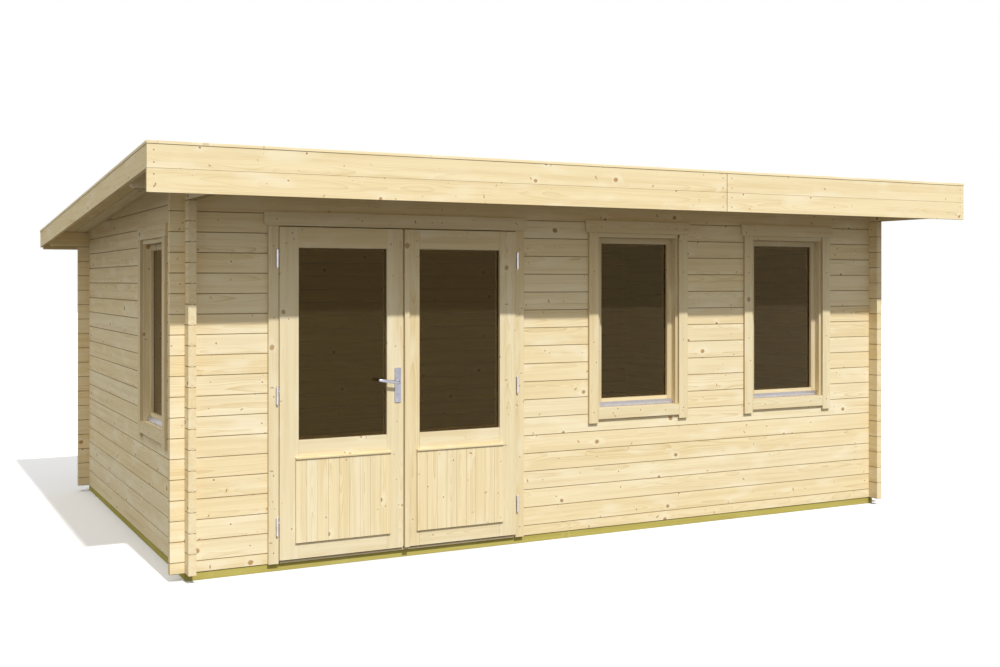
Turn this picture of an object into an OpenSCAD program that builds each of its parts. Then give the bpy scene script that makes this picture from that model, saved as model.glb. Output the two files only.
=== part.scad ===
// Garden log cabin with a mono-pitch roof, glazed double doors and three windows.
// Millimetres, +Z up, +Y from the front wall to the back wall.
// Modules are drawn from the outer front left corner, and cabin() moves that to the base centre.

/* [Walls] */
// Outer length of the front and back walls
wall_length = 5120; // [4400:10:6000]
// Outer depth of the side walls
wall_depth = 3315; // [2800:5:4200]
// Thickness of a wall log
log_thickness = 44; // [36:1:56]
// Height of one log course
log_pitch = 114; // [104:1:126]
// Run of a log end past the corner that it crosses
log_end = 82; // [60:1:110]
// Height of the sawn first log of the front and back walls
starter_height = 63; // [58:1:75]
// Full courses in the front wall
front_courses = 19; // [19:1:20]
// Full courses in the back wall
back_courses = 17; // [16:1:17]
// Course of the front wall at which its openings end
head_course = 17; // [16:1:17]
// Course of a wall at which its windows begin
sill_course = 6; // [5:1:8]

/* [Base and floor] */
// Height of the ground beams
beam_height = 45; // [38:1:60]
// Width of a ground beam
beam_width = 70; // [60:1:95]
// Distance of the ground beams behind the walls' outer faces
beam_inset = 6; // [0:1:10]
// Width of a floor joist
joist_width = 45; // [38:1:60]
// Number of floor joists
joist_count = 8; // [5:1:10]
// Thickness of the floor boards
floor_thickness = 19; // [16:1:26]

/* [Roof] */
// Overhang of the roof in front of the front wall
front_overhang = 561; // [400:1:700]
// Overhang of the roof behind the back wall
back_overhang = 352; // [250:1:450]
// Overhang of the roof beside each side wall
side_overhang = 318; // [230:1:400]
// Thickness of the roof boards
roof_thickness = 19; // [16:1:26]
// Thickness of the fascia and barge boards
fascia_thickness = 20; // [16:1:26]
// Height of one fascia or barge board
fascia_height = 122; // [105:1:130]
// Height of the fascia and barge boards above the roof's underside
fascia_rise = 34; // [30:1:45]
// Thickness of the cap strip on the roof's edge
cap_thickness = 16; // [12:1:22]
// Width of the cap strip
cap_width = 56; // [40:1:70]
// Place of the butt joint in the front fascia, from its left end
fascia_joint = 3625; // [2500:5:4200]
// Height of a roof purlin
purlin_height = 118; // [95:1:135]
// Width of a roof purlin
purlin_width = 44; // [38:1:58]
// Number of roof purlins
purlin_count = 3; // [2:1:4]

/* [Doors] */
// Distance from the left corner to the doorway cut in the logs
door_from_corner = 490; // [380:1:600]
// Width of one door leaf
leaf_width = 762; // [680:1:800]
// Thickness of a door leaf
leaf_thickness = 44; // [38:1:54]
// How far a leaf stands in front of the wall
leaf_proud = 26; // [22:1:34]
// Gap between a leaf and what it closes against
leaf_clear = 6; // [5:0.5:8]
// Gap between the two leaves
meeting_gap = 7; // [6.5:0.5:10]
// Width of a leaf's hinge stile
hinge_stile = 113; // [98:1:128]
// Width of a leaf's meeting stile
meeting_stile = 102; // [94:1:118]
// Height of a leaf's top rail
top_rail = 118; // [95:1:135]
// Height of a leaf's middle rail
middle_rail = 122; // [100:1:140]
// Height of a leaf's bottom rail
bottom_rail = 112; // [95:1:130]
// Height of the wooden panel's opening in a leaf
panel_opening = 446; // [380:1:520]
// Overlap of the panel's raised face on the stiles and rails
panel_lap = 20; // [14:1:28]
// How far the panel's face stands in front of the leaf
panel_proud = 13; // [8:1:16]
// Width of the cover strip on the right leaf's meeting edge
cover_width = 32; // [24:1:40]
// Thickness of that cover strip
cover_thickness = 15; // [10:1:20]
// Thickness of the door frame's side posts
jamb_thickness = 34; // [28:1:45]
// Height of the door frame's head
door_head = 70; // [58:1:85]
// Height of the threshold on the ground beam
threshold_height = 13; // [10:1:18]

/* [Door furniture] */
// Radius of a hinge barrel
barrel_radius = 7; // [6:0.5:8]
// Radius of a hinge pin
pin_radius = 4; // [3:0.5:4.5]
// Height of one hinge
hinge_height = 92; // [70:1:110]
// Height of the lever handle above the ground
lever_height = 1055; // [950:1:1100]
// Length of the lever
lever_length = 128; // [105:1:140]
// Radius of the lever's grip
lever_radius = 8; // [6.5:0.5:9]
// Height of a handle plate
plate_height = 207; // [180:1:240]
// Width of a handle plate
plate_width = 40; // [32:1:44]
// Thickness of a handle plate
plate_thickness = 6; // [4:0.5:9]

/* [Windows] */
// Width of a window cut in the logs
window_opening = 705; // [600:1:760]
// Distance from the front corner to the middle of the left window
left_window_from_front = 835; // [700:1:1500]
// Thickness of a window frame's side posts
window_jamb = 50; // [42:1:60]
// Height of a window frame's sill
window_sill = 36; // [30:1:46]
// Height of a window frame's head
window_head = 98; // [88:1:108]
// Depth of a window frame
window_depth = 84; // [76:1:102]
// Width of a window sash's stiles and rails
sash_width = 38; // [32:1:48]
// Height of a window sash's bottom rail
sash_foot = 56; // [46:1:66]
// Thickness of a window sash
sash_thickness = 44; // [36:1:54]
// Thickness of a pane of glass
glass_thickness = 6; // [4:0.5:10]

/* [Trim] */
// Thickness of the trim boards round doors and windows
trim_thickness = 18; // [14:1:20]
// Width of the trim boards beside the doors
door_trim_width = 61; // [52:1:74]
// Width of the trim boards beside a window
window_trim_width = 72; // [60:1:80]
// Width of a window frame's posts that shows inside the trim
window_reveal = 20; // [12:1:26]
// Height of the trim board over an opening
head_trim = 82; // [75:1:95]
// Run of the head trim past the trim boards beside it
head_ear = 24; // [15:1:32]
// Rise of the head trim above the opening
head_trim_rise = 12; // [6:1:20]

/* [Hidden] */
$fn = 48;

// Fits
seat_gap = 0.3;
pin_play = 0.08;
overrun = 20;

// Log section
tongue_width = 14;
tongue_height = 9;
groove_play = 0.6;
edge_chamfer = 3;
end_round = 42;
wedge_tip = 14;
notch_depth = log_pitch / 4 + seat_gap / 2;

// Levels of the walls
front_base = beam_height + starter_height;
side_base = front_base + log_pitch / 2;
bottom_log = side_base - beam_height;
front_top = front_base + front_courses * log_pitch;
back_top = front_base + back_courses * log_pitch;
opening_top = front_base + head_course * log_pitch;
window_bottom = front_base + sill_course * log_pitch;
window_rows = head_course - sill_course;
side_sill_course = sill_course - 1;
side_window_bottom = side_base + side_sill_course * log_pitch;
side_rows = front_courses;
rafter_row = front_courses - 2;
roof_drop = front_top - back_top;
roof_angle = atan(roof_drop / wall_depth);

function soffit(y) = front_top - roof_drop * y / wall_depth;
function soffit_reaches(z) = (front_top - z) * wall_depth / roof_drop;

// Roof edges
roof_front = -front_overhang;
roof_back = wall_depth + back_overhang;
roof_left = -side_overhang;
roof_right = wall_length + side_overhang;
roof_reach = front_overhang + back_overhang + side_overhang;
purlin_pocket_share = 0.5;
purlin_pocket = log_thickness * purlin_pocket_share;
cap_lip = 3;
fascia_gap = 4;

// Doorway, with x measured from its middle
leaf_edge = meeting_gap / 2 + leaf_width;
jamb_inner = leaf_edge + leaf_clear;
jamb_outer = jamb_inner + jamb_thickness;
door_cut = jamb_outer + seat_gap;
door_middle = door_from_corner + door_cut;
door_cut_left = door_from_corner;
door_cut_right = door_middle + door_cut;
leaf_front = -leaf_proud;
leaf_back = leaf_front + leaf_thickness;
leaf_bottom = beam_height + threshold_height + leaf_clear;
head_bottom = opening_top - door_head;
leaf_top = head_bottom - leaf_clear;
door_trim_lap = 4;
door_trim_inner = jamb_inner - door_trim_lap;
stop_lap = 22;
stop_front = leaf_back + leaf_clear;
groove_depth = 9;
glass_play = 0.4;
glass_front = leaf_front + (leaf_thickness - glass_thickness) / 2;
panel_core = 20;

// Leaf levels
panel_bottom = leaf_bottom + bottom_rail;
panel_top = panel_bottom + panel_opening;
pane_bottom = panel_top + middle_rail;
pane_top = leaf_top - top_rail;
pane_left = -leaf_edge + hinge_stile;
pane_right = -meeting_gap / 2 - meeting_stile;

// Hinges
hinge_offset = 13;
hinge_x = -leaf_edge - hinge_offset;
barrel_clear = 2;
hinge_y = -trim_thickness - barrel_clear - barrel_radius;
screw_radius = 3;
screw_height = hinge_height / 4;
knuckle_gap = 0.5;
hinge_shares = [0.102, 0.495, 0.905];
pin_depth = hinge_height / 3;

// Handle
lever_inset = 35;
lever_x = -meeting_gap / 2 - lever_inset;
lever_standoff = 32;
lever_tilt = 8;
neck_radius = 9;
spindle_bore = 11;
plate_drop_share = 0.58;

// Windows, with x measured from the middle and y from the wall's outer face
window_cut = window_opening / 2;
window_inner = window_cut - window_jamb - seat_gap;
window_trim_inner = window_inner + window_reveal;
window_room = wall_length - door_cut_right;
window_place_shares = [0.299, 0.7229];
window_one = door_cut_right + window_room * window_place_shares[0];
window_two = door_cut_right + window_room * window_place_shares[1];
window_rise = window_rows * log_pitch;
sash_clear = seat_gap;
sash_front = window_depth - sash_thickness;
sill_trim_drop = 37;
side_trim_drop = 62;
drip_height = 34;
drip_depth = 16;
drip_wall = 3;

// Colours
pine = [0.93, 0.84, 0.63];
pine_shade = [0.86, 0.76, 0.55];
treated = [0.62, 0.58, 0.24];
pane = [0.35, 0.38, 0.38, 0.5];
steel = [0.7, 0.7, 0.72];

// Placing and extruding

module cabin() {
    translate([-wall_length / 2, -(roof_front + roof_back) / 2, 0]) children();
}

// Extrudes an outline drawn in Y and Z along X
module along_x(from, to) {
    translate([from, 0, 0]) rotate([90, 0, 90]) linear_extrude(to - from) children();
}

// Extrudes an outline drawn in X and Z along Y
module along_y(from, to) {
    translate([0, to, 0]) rotate([90, 0, 0]) linear_extrude(to - from) children();
}

module block(low, high) {
    translate(low) cube(high - low);
}

module under_roof() {
    low = roof_front - roof_reach;
    high = roof_back + roof_reach;
    along_x(roof_left - roof_reach, roof_right + roof_reach)
        polygon([[low, 0], [high, 0], [high, soffit(high) - seat_gap], [low, soffit(low) - seat_gap]]);
}

// A strip that follows the roof's slope, between two heights above its underside
module slope_strip(front, back, low, high) {
    polygon([
        [front, soffit(front) + low], [back, soffit(back) + low],
        [back, soffit(back) + high], [front, soffit(front) + high]
    ]);
}

// Logs

module log_section(bottom, height, tongue = true, groove = true) {
    top = bottom + height - seat_gap;
    middle = log_thickness / 2;
    slot = tongue_width / 2 + groove_play / 2;
    slot_top = bottom + tongue_height + groove_play;
    difference() {
        union() {
            polygon([
                [edge_chamfer, bottom], [log_thickness - edge_chamfer, bottom],
                [log_thickness, bottom + edge_chamfer], [log_thickness, top - edge_chamfer],
                [log_thickness - edge_chamfer, top], [edge_chamfer, top],
                [0, top - edge_chamfer], [0, bottom + edge_chamfer]
            ]);
            if (tongue)
                translate([middle - tongue_width / 2, top - edge_chamfer])
                    square([tongue_width, tongue_height + edge_chamfer]);
        }
        if (groove)
            translate([middle - slot, bottom - edge_chamfer])
                square([2 * slot, slot_top - bottom + edge_chamfer]);
    }
}

// Half-lap notches for a crossing log, over and under
module corner_notch(low, high, bottom, top, under) {
    block([low[0], low[1], top - notch_depth], [high[0], high[1], top + overrun]);
    if (under > 0)
        block([low[0], low[1], bottom - overrun], [high[0], high[1], bottom + under]);
}

// A log of the front or back wall, notched where it passes the side walls
module long_log(bottom, height, from, to, face, under = notch_depth, tongue = true) {
    difference() {
        along_x(from, to) translate([face, 0]) log_section(bottom, height, tongue, under > 0);
        for (corner = [0, wall_length - log_thickness])
            if (from < corner + log_thickness && to > corner)
                corner_notch(
                    [corner - seat_gap, face - overrun],
                    [corner + log_thickness + seat_gap, face + log_thickness + overrun],
                    bottom, bottom + height, under
                );
    }
}

// A log of a side wall, notched where it passes the front and back walls
module side_log(bottom, height, from, to, face, under = notch_depth, groove = true) {
    difference() {
        along_y(from, to) translate([face, 0]) log_section(bottom, height, groove = groove);
        for (corner = [0, wall_depth - log_thickness])
            if (from < corner + log_thickness && to > corner)
                corner_notch(
                    [face - overrun, corner - seat_gap],
                    [face + log_thickness + overrun, corner + log_thickness + seat_gap],
                    bottom, bottom + height, under
                );
    }
}

// Rounds the lower corner at both ends of a log that carries the side overhang
module rounded_ends(from, to, bottom) {
    for (end = [[from, 1], [to, -1]])
        translate([end[0], 0, bottom]) mirror([end[1] < 0 ? 1 : 0, 0, 0])
            difference() {
                block([-overrun, -roof_reach, -overrun], [end_round, wall_depth + roof_reach, end_round]);
                translate([end_round, wall_depth + roof_reach, end_round]) rotate([90, 0, 0])
                    cylinder(r = end_round, h = wall_depth + 2 * roof_reach);
            }
}

// The top log of the front or back wall, planed to the slope and run out to the barge boards
module carrier_log(bottom, face) {
    from = roof_left + fascia_thickness + seat_gap;
    to = roof_right - fascia_thickness - seat_gap;
    difference() {
        intersection() {
            long_log(bottom, log_pitch + edge_chamfer, from, to, face, tongue = false);
            under_roof();
        }
        rounded_ends(from, to, bottom);
        for (corner = [0, wall_length - log_thickness])
            block(
                [corner - seat_gap, face - overrun, bottom + log_pitch - notch_depth],
                [
                    corner + log_thickness + seat_gap, face + log_thickness + overrun,
                    bottom + log_pitch + overrun
                ]
            );
    }
}

function course(row) = front_base + row * log_pitch;
function side_course(row) = side_base + row * log_pitch;

// Whole courses of the front wall, between two places
module front_rows(first, last, from, to) {
    for (row = [first : last]) long_log(course(row), log_pitch, from, to, 0);
}

module front_starter(from, to) {
    long_log(beam_height, starter_height, from, to, 0, under = 0);
}

module front_wall_left_logs() {
    color(pine) cabin() {
        front_starter(-log_end, door_cut_left);
        front_rows(0, head_course - 1, -log_end, door_cut_left);
    }
}

module front_wall_lower_logs() {
    color(pine) cabin() difference() {
        union() {
            front_starter(door_cut_right, wall_length + log_end);
            front_rows(0, sill_course - 1, door_cut_right, wall_length + log_end);
        }
        for (middle = [window_one, window_two])
            block(
                [middle - window_cut, -overrun, window_bottom - seat_gap],
                [middle + window_cut, log_thickness + overrun, window_bottom + overrun]
            );
    }
}

module front_wall_middle_logs() {
    color(pine) cabin() front_rows(sill_course, head_course - 1, door_cut_right, window_one - window_cut);
}

module front_wall_pier_logs() {
    color(pine) cabin()
        front_rows(sill_course, head_course - 1, window_one + window_cut, window_two - window_cut);
}

module front_wall_right_logs() {
    color(pine) cabin()
        front_rows(sill_course, head_course - 1, window_two + window_cut, wall_length + log_end);
}

module front_wall_top_logs() {
    color(pine) cabin() {
        if (head_course < front_courses - 1)
            front_rows(head_course, front_courses - 2, -log_end, wall_length + log_end);
        carrier_log(course(front_courses - 1), 0);
    }
}

module back_wall_logs() {
    face = wall_depth - log_thickness;
    color(pine) cabin() {
        long_log(beam_height, starter_height, -log_end, wall_length + log_end, face, under = 0);
        for (row = [0 : back_courses - 2])
            long_log(course(row), log_pitch, -log_end, wall_length + log_end, face);
        carrier_log(course(back_courses - 1), face);
    }
}

// The ends of a side log: rafters run on to the front fascia, and the roof cuts the top ones short
function side_front(row) = row >= rafter_row ? roof_front + fascia_thickness + seat_gap : -log_end;
function side_back(row) = min(wall_depth + log_end, soffit_reaches(side_course(row) + wedge_tip));

module bottom_side_log(face) {
    side_log(beam_height, bottom_log, -log_end, wall_depth + log_end, face,
        under = starter_height - log_pitch / 4 + seat_gap / 2, groove = false);
}

// Side courses that stay whole under the roof
module side_rows_whole(first, last, from, to, face) {
    for (row = [first : last]) side_log(side_course(row), log_pitch, from, to, face);
}

// Side courses that the roof cuts
module side_rows_cut(first, face) {
    intersection() {
        for (row = [first : side_rows - 1])
            side_log(side_course(row), log_pitch, side_front(row), side_back(row), face);
        under_roof();
    }
}

// Pockets for the purlins' ends, cut in what is drawn inside
module pocketed() {
    difference() {
        union() children();
        purlin_row(seat_gap);
    }
}

side_head_course = side_sill_course + window_rows;
left_window_front = left_window_from_front - window_cut;
left_window_back = left_window_from_front + window_cut;

module left_wall_lower_logs() {
    color(pine) cabin() difference() {
        union() {
            bottom_side_log(0);
            side_rows_whole(0, side_sill_course - 1, -log_end, wall_depth + log_end, 0);
        }
        block(
            [-overrun, left_window_front, side_window_bottom - seat_gap],
            [log_thickness + overrun, left_window_back, side_window_bottom + overrun]
        );
    }
}

module left_wall_front_logs() {
    color(pine) cabin()
        side_rows_whole(side_sill_course, side_head_course - 1, -log_end, left_window_front, 0);
}

module left_wall_back_logs() {
    color(pine) cabin() pocketed()
        side_rows_whole(side_sill_course, side_head_course - 1, left_window_back, wall_depth + log_end, 0);
}

module left_wall_top_logs() {
    color(pine) cabin() pocketed() side_rows_cut(side_head_course, 0);
}

module right_wall_logs() {
    face = wall_length - log_thickness;
    end = wall_depth + log_end;
    highest = side_head_course - 1;
    color(pine) cabin() {
        bottom_side_log(face);
        side_rows_whole(0, highest - 1, -log_end, end, face);
        pocketed() {
            side_rows_whole(highest, highest, -log_end, end, face);
            side_rows_cut(side_head_course, face);
        }
    }
}

// Base and floor

// A beam along the front or back wall, from its outer face inwards
module long_beam(face) {
    block([beam_inset, face, 0], [wall_length - beam_inset, face + beam_width, beam_height]);
}

module front_ground_beam() {
    color(treated) cabin() long_beam(beam_inset);
}

module back_ground_beam() {
    color(treated) cabin() long_beam(wall_depth - beam_inset - beam_width);
}

// Timbers that run from the front beam to the back one
module cross_beam(left, width) {
    reach = beam_inset + beam_width + seat_gap;
    block([left, reach, 0], [left + width, wall_depth - reach, beam_height]);
}

module side_ground_beams() {
    color(treated) cabin() for (left = [beam_inset, wall_length - beam_inset - beam_width])
        cross_beam(left, beam_width);
}

module floor_joists() {
    first = beam_inset + beam_width + joist_width / 2;
    pitch = (wall_length - 2 * first) / (joist_count + 1);
    color(treated) cabin() for (i = [1 : joist_count])
        cross_beam(first + i * pitch - joist_width / 2, joist_width);
}

module floor_boards() {
    inset = log_thickness + seat_gap;
    color(pine_shade) cabin() block(
        [inset, inset, beam_height + seat_gap],
        [wall_length - inset, wall_depth - inset, beam_height + floor_thickness]
    );
}

// Roof

module purlin_row(play) {
    end = log_thickness - purlin_pocket;
    translate([0, 0, front_top]) rotate([-roof_angle, 0, 0])
        for (i = [1 : purlin_count])
            translate([end - play, i * wall_depth / (purlin_count + 1), 0])
                block(
                    [0, -purlin_width / 2 - play, -purlin_height - play],
                    [wall_length - 2 * end + 2 * play, purlin_width / 2 + play, play - seat_gap]
                );
}

module roof_purlins() {
    color(pine) cabin() purlin_row(0);
}

module roof_boards() {
    edge = fascia_thickness + seat_gap;
    color(pine_shade) cabin() along_x(roof_left + edge, roof_right - edge)
        slope_strip(roof_front + edge, roof_back - edge, 0, roof_thickness);
}

// The front fascia: an upper and a lower board, each butted at the same place
module front_fascia() {
    back = roof_front + fascia_thickness;
    split = soffit(roof_front) + fascia_rise - fascia_height;
    joint = roof_left + fascia_joint;
    color(pine) cabin() for (span = [[roof_left, joint - fascia_gap], [joint, roof_right]]) {
        along_x(span[0], span[1]) polygon([
            [roof_front, split + seat_gap], [back, split + seat_gap],
            [back, soffit(back) + fascia_rise], [roof_front, soffit(roof_front) + fascia_rise]
        ]);
        block([span[0], roof_front, split - fascia_height], [span[1], back, split]);
    }
}

module back_fascia() {
    back = roof_back;
    top = soffit(back) + roof_thickness;
    edge = fascia_thickness + seat_gap;
    color(pine) cabin() block(
        [roof_left + edge, back - fascia_thickness, top - fascia_height],
        [roof_right - edge, back, top]
    );
}

module barge_board(left) {
    along_x(left, left + fascia_thickness)
        slope_strip(
            roof_front + fascia_thickness + seat_gap, roof_back,
            fascia_rise - fascia_height, fascia_rise
        );
}

module left_barge_board() {
    color(pine) cabin() barge_board(roof_left);
}

module right_barge_board() {
    color(pine) cabin() barge_board(roof_right - fascia_thickness);
}

module roof_edge_caps() {
    low = fascia_rise + seat_gap;
    high = low + cap_thickness;
    front = roof_front - cap_lip;
    outer = [roof_left - cap_lip, roof_right + cap_lip - cap_width];
    color(pine) cabin() {
        for (left = outer) along_x(left, left + cap_width)
            slope_strip(front, roof_back + cap_lip, low, high);
        along_x(outer[0] + cap_width + seat_gap, outer[1] - seat_gap)
            slope_strip(front, front + cap_width, low, high);
    }
}

// Doorway

module doorway() {
    cabin() translate([door_middle, 0, 0]) children();
}

module both_sides() {
    children();
    mirror([1, 0, 0]) children();
}

module door_frame() {
    stop_inner = jamb_inner - stop_lap;
    color(pine) doorway() {
        both_sides() {
            block([-jamb_outer, 0, beam_height], [-jamb_inner, log_thickness, head_bottom - seat_gap]);
            block(
                [-jamb_inner + seat_gap, stop_front, beam_height + threshold_height + seat_gap],
                [-stop_inner, log_thickness, head_bottom - stop_lap - seat_gap]
            );
        }
        block([-jamb_outer, 0, head_bottom], [jamb_outer, log_thickness, opening_top - seat_gap]);
        block(
            [-jamb_inner + seat_gap, stop_front, head_bottom - stop_lap],
            [jamb_inner - seat_gap, log_thickness, head_bottom - seat_gap]
        );
    }
}

module door_threshold() {
    reach = jamb_inner - seat_gap;
    color(pine_shade) doorway() block(
        [-reach, 0, beam_height],
        [reach, log_thickness, beam_height + threshold_height]
    );
}

// A head trim board with its lower corners rounded
module head_board(half, bottom, height) {
    steps = 6;
    left_arc = [for (i = [0 : steps]) [
        -half + head_ear * (1 - cos(90 * i / steps)), bottom + head_ear * (1 - sin(90 * i / steps))
    ]];
    right_arc = [for (i = [steps : -1 : 0]) [-left_arc[i][0], left_arc[i][1]]];
    along_y(-trim_thickness, 0)
        polygon(concat([[-half, bottom + height]], left_arc, right_arc, [[half, bottom + height]]));
}

module door_trim() {
    outer = door_trim_inner + door_trim_width;
    color(pine) doorway() {
        both_sides() block(
            [-outer, -trim_thickness, beam_height], [-door_trim_inner, 0, head_bottom - seat_gap]
        );
        head_board(outer + head_ear, head_bottom, opening_top - head_bottom + head_trim_rise);
    }
}

// Door leaves, drawn for the left side

module leaf() {
    doorway() children();
}

module right_leaf() {
    doorway() mirror([1, 0, 0]) children();
}

module leaf_stile(from, to, groove_side) {
    difference() {
        block([from, leaf_front, leaf_bottom], [to, leaf_back, leaf_top]);
        groove_cut(groove_side > 0 ? to - groove_depth : from - overrun,
            groove_side > 0 ? to + overrun : from + groove_depth,
            pane_bottom - groove_depth, pane_top + groove_depth);
    }
}

// The slot that holds the edge of a pane
module groove_cut(left, right, bottom, top) {
    block(
        [left, glass_front - glass_play, bottom],
        [right, glass_front + glass_thickness + glass_play, top]
    );
}

module leaf_rail(bottom, top) {
    difference() {
        block([pane_left + seat_gap, leaf_front, bottom], [pane_right - seat_gap, leaf_back, top]);
        groove_cut(pane_left - overrun, pane_right + overrun,
            pane_bottom - groove_depth, pane_top + groove_depth);
    }
}

module leaf_frame() {
    leaf_stile(-leaf_edge, pane_left, 1);
    leaf_stile(pane_right, -meeting_gap / 2, -1);
    leaf_rail(leaf_bottom, panel_bottom);
    leaf_rail(panel_top, pane_bottom);
    leaf_rail(pane_top, leaf_top);
}

module leaf_glass() {
    reach = groove_depth - glass_play;
    block(
        [pane_left - reach, glass_front, pane_bottom - reach],
        [pane_right + reach, glass_front + glass_thickness, pane_top + reach]
    );
}

module leaf_panel() {
    block(
        [pane_left + seat_gap, leaf_front - panel_proud, panel_bottom + seat_gap],
        [pane_right - seat_gap, leaf_front + panel_core, panel_top - seat_gap]
    );
    block(
        [pane_left - panel_lap, leaf_front - panel_proud, panel_bottom - panel_lap],
        [pane_right + panel_lap, leaf_front - seat_gap, panel_top + panel_lap]
    );
}

module left_door_frame() {
    color(pine) leaf() difference() {
        leaf_frame();
        translate([lever_x, leaf_back + overrun, lever_height]) rotate([90, 0, 0])
            cylinder(r = spindle_bore, h = leaf_thickness + 2 * overrun);
    }
}

// The right leaf's frame, with the cover strip on its meeting edge
module right_door_frame() {
    edge = -meeting_gap / 2;
    color(pine) right_leaf() {
        leaf_frame();
        block(
            [edge - cover_width, leaf_front - cover_thickness, leaf_bottom],
            [edge, leaf_front - seat_gap, leaf_top]
        );
    }
}

module left_door_glass() {
    color(pane) leaf() leaf_glass();
}

module right_door_glass() {
    color(pane) right_leaf() leaf_glass();
}

module left_door_panel() {
    color(pine) leaf() leaf_panel();
}

module right_door_panel() {
    color(pine) right_leaf() leaf_panel();
}

// Hinges: the lower knuckle and its pin stay on the frame, the upper one turns with the leaf,
// and each is held by a screw that runs into the wood

module at_hinges() {
    for (share = hinge_shares)
        translate([hinge_x, hinge_y, leaf_bottom + (leaf_top - leaf_bottom) * share - hinge_height / 2])
            children();
}

module frame_knuckle() {
    cylinder(r = barrel_radius, h = hinge_height / 2);
    cylinder(r = pin_radius, h = hinge_height / 2 + pin_depth);
    translate([0, 0, screw_height]) rotate([-90, 0, 0])
        cylinder(r = screw_radius, h = -trim_thickness - seat_gap - hinge_y);
}

module leaf_knuckle() {
    start = hinge_height / 2 + knuckle_gap;
    screw_y = leaf_front + barrel_clear / 2 + screw_radius - hinge_y;
    difference() {
        union() {
            translate([0, 0, start]) cylinder(r = barrel_radius, h = hinge_height / 2);
            translate([0, screw_y, start + screw_height]) rotate([0, 90, 0])
                cylinder(r = screw_radius, h = hinge_offset - seat_gap);
        }
        cylinder(r = pin_radius + pin_play, h = hinge_height / 2 + pin_depth + knuckle_gap);
    }
}

module door_frame_hinges() {
    color(steel) doorway() both_sides() at_hinges() frame_knuckle();
}

module left_door_hinges() {
    color(steel) leaf() at_hinges() leaf_knuckle();
}

module right_door_hinges() {
    color(steel) right_leaf() at_hinges() leaf_knuckle();
}

// Lever handle

module handle_plate(face) {
    low = lever_height - plate_height * plate_drop_share;
    half = plate_width / 2;
    difference() {
        translate([lever_x, 0, 0]) block(
            [-half, face, low], [half, face + plate_thickness, low + plate_height]
        );
        translate([lever_x, face + plate_thickness + overrun, lever_height]) rotate([90, 0, 0])
            cylinder(r = neck_radius + pin_play, h = plate_thickness + 2 * overrun);
    }
}

module left_door_handle_plates() {
    color(steel) leaf() {
        handle_plate(leaf_front - seat_gap - plate_thickness);
        handle_plate(leaf_back + seat_gap);
    }
}

module door_lever() {
    front = leaf_front - seat_gap - plate_thickness - lever_standoff;
    back = leaf_back + seat_gap + plate_thickness + lever_standoff;
    color(steel) leaf() translate([lever_x, 0, lever_height]) {
        translate([0, back, 0]) rotate([90, 0, 0]) cylinder(r = neck_radius, h = back - front);
        for (y = [front, back]) {
            translate([0, y, 0]) sphere(r = neck_radius);
            translate([0, y, 0]) rotate([0, lever_tilt, 0]) translate([-lever_length, 0, 0]) {
                rotate([0, 90, 0]) cylinder(r = lever_radius, h = lever_length);
                sphere(r = lever_radius);
            }
        }
    }
}

// Windows

// Draws its children at the three windows, with the wall's outer face at y zero
module at_windows() {
    cabin() {
        for (middle = [window_one, window_two]) translate([middle, 0, window_bottom]) children();
        translate([0, left_window_from_front, side_window_bottom]) rotate([0, 0, -90]) children();
    }
}

module window_frames() {
    outer = window_cut - seat_gap;
    top = window_rise - window_head;
    color(pine) at_windows() {
        both_sides() block(
            [-outer, 0, window_sill + seat_gap], [-window_inner, window_depth, top - seat_gap]
        );
        block([-outer, 0, 0], [outer, window_depth, window_sill]);
        block([-outer, 0, top], [outer, window_depth, window_rise - seat_gap]);
    }
}

sash_outer = window_inner - sash_clear;
sash_inner = sash_outer - sash_width;
sash_bottom = window_sill + sash_clear;
sash_top = window_rise - window_head - sash_clear;
sash_glass_front = sash_front + (sash_thickness - glass_thickness) / 2;

module sash_slot() {
    reach = sash_inner + groove_depth;
    block(
        [-reach, sash_glass_front - glass_play, sash_bottom + sash_foot - groove_depth],
        [reach, sash_glass_front + glass_thickness + glass_play, sash_top - sash_width + groove_depth]
    );
}

module window_sashes() {
    color(pine) at_windows() difference() {
        union() {
            both_sides() block(
                [-sash_outer, sash_front, sash_bottom], [-sash_inner, window_depth, sash_top]
            );
            for (rail = [[sash_bottom, sash_bottom + sash_foot], [sash_top - sash_width, sash_top]])
                block(
                    [-sash_inner + seat_gap, sash_front, rail[0]],
                    [sash_inner - seat_gap, window_depth, rail[1]]
                );
        }
        sash_slot();
    }
}

module window_glass() {
    reach = sash_inner + groove_depth - glass_play;
    color(pane) at_windows() block(
        [-reach, sash_glass_front, sash_bottom + sash_foot - groove_depth + glass_play],
        [reach, sash_glass_front + glass_thickness, sash_top - sash_width + groove_depth - glass_play]
    );
}

module window_trim() {
    outer = window_trim_inner + window_trim_width;
    head = window_rise + head_trim_rise - head_trim;
    color(pine) at_windows() {
        both_sides() block(
            [-outer, -trim_thickness, -side_trim_drop], [-window_trim_inner, 0, head - seat_gap]
        );
        block(
            [-window_trim_inner + seat_gap, -trim_thickness, -sill_trim_drop],
            [window_trim_inner - seat_gap, 0, window_sill]
        );
        head_board(outer + head_ear, head, head_trim);
    }
}

// A folded metal rail on the foot of each sash
module window_drip_rails() {
    reach = sash_outer - sash_clear;
    back = sash_front - seat_gap;
    color(steel) at_windows() along_x(-reach, reach) polygon([
        [back, sash_bottom], [back, sash_bottom + drip_height],
        [back - drip_wall, sash_bottom + drip_height],
        [back - drip_depth, sash_bottom + drip_height / 2],
        [back - drip_depth, sash_bottom]
    ]);
}

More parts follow.
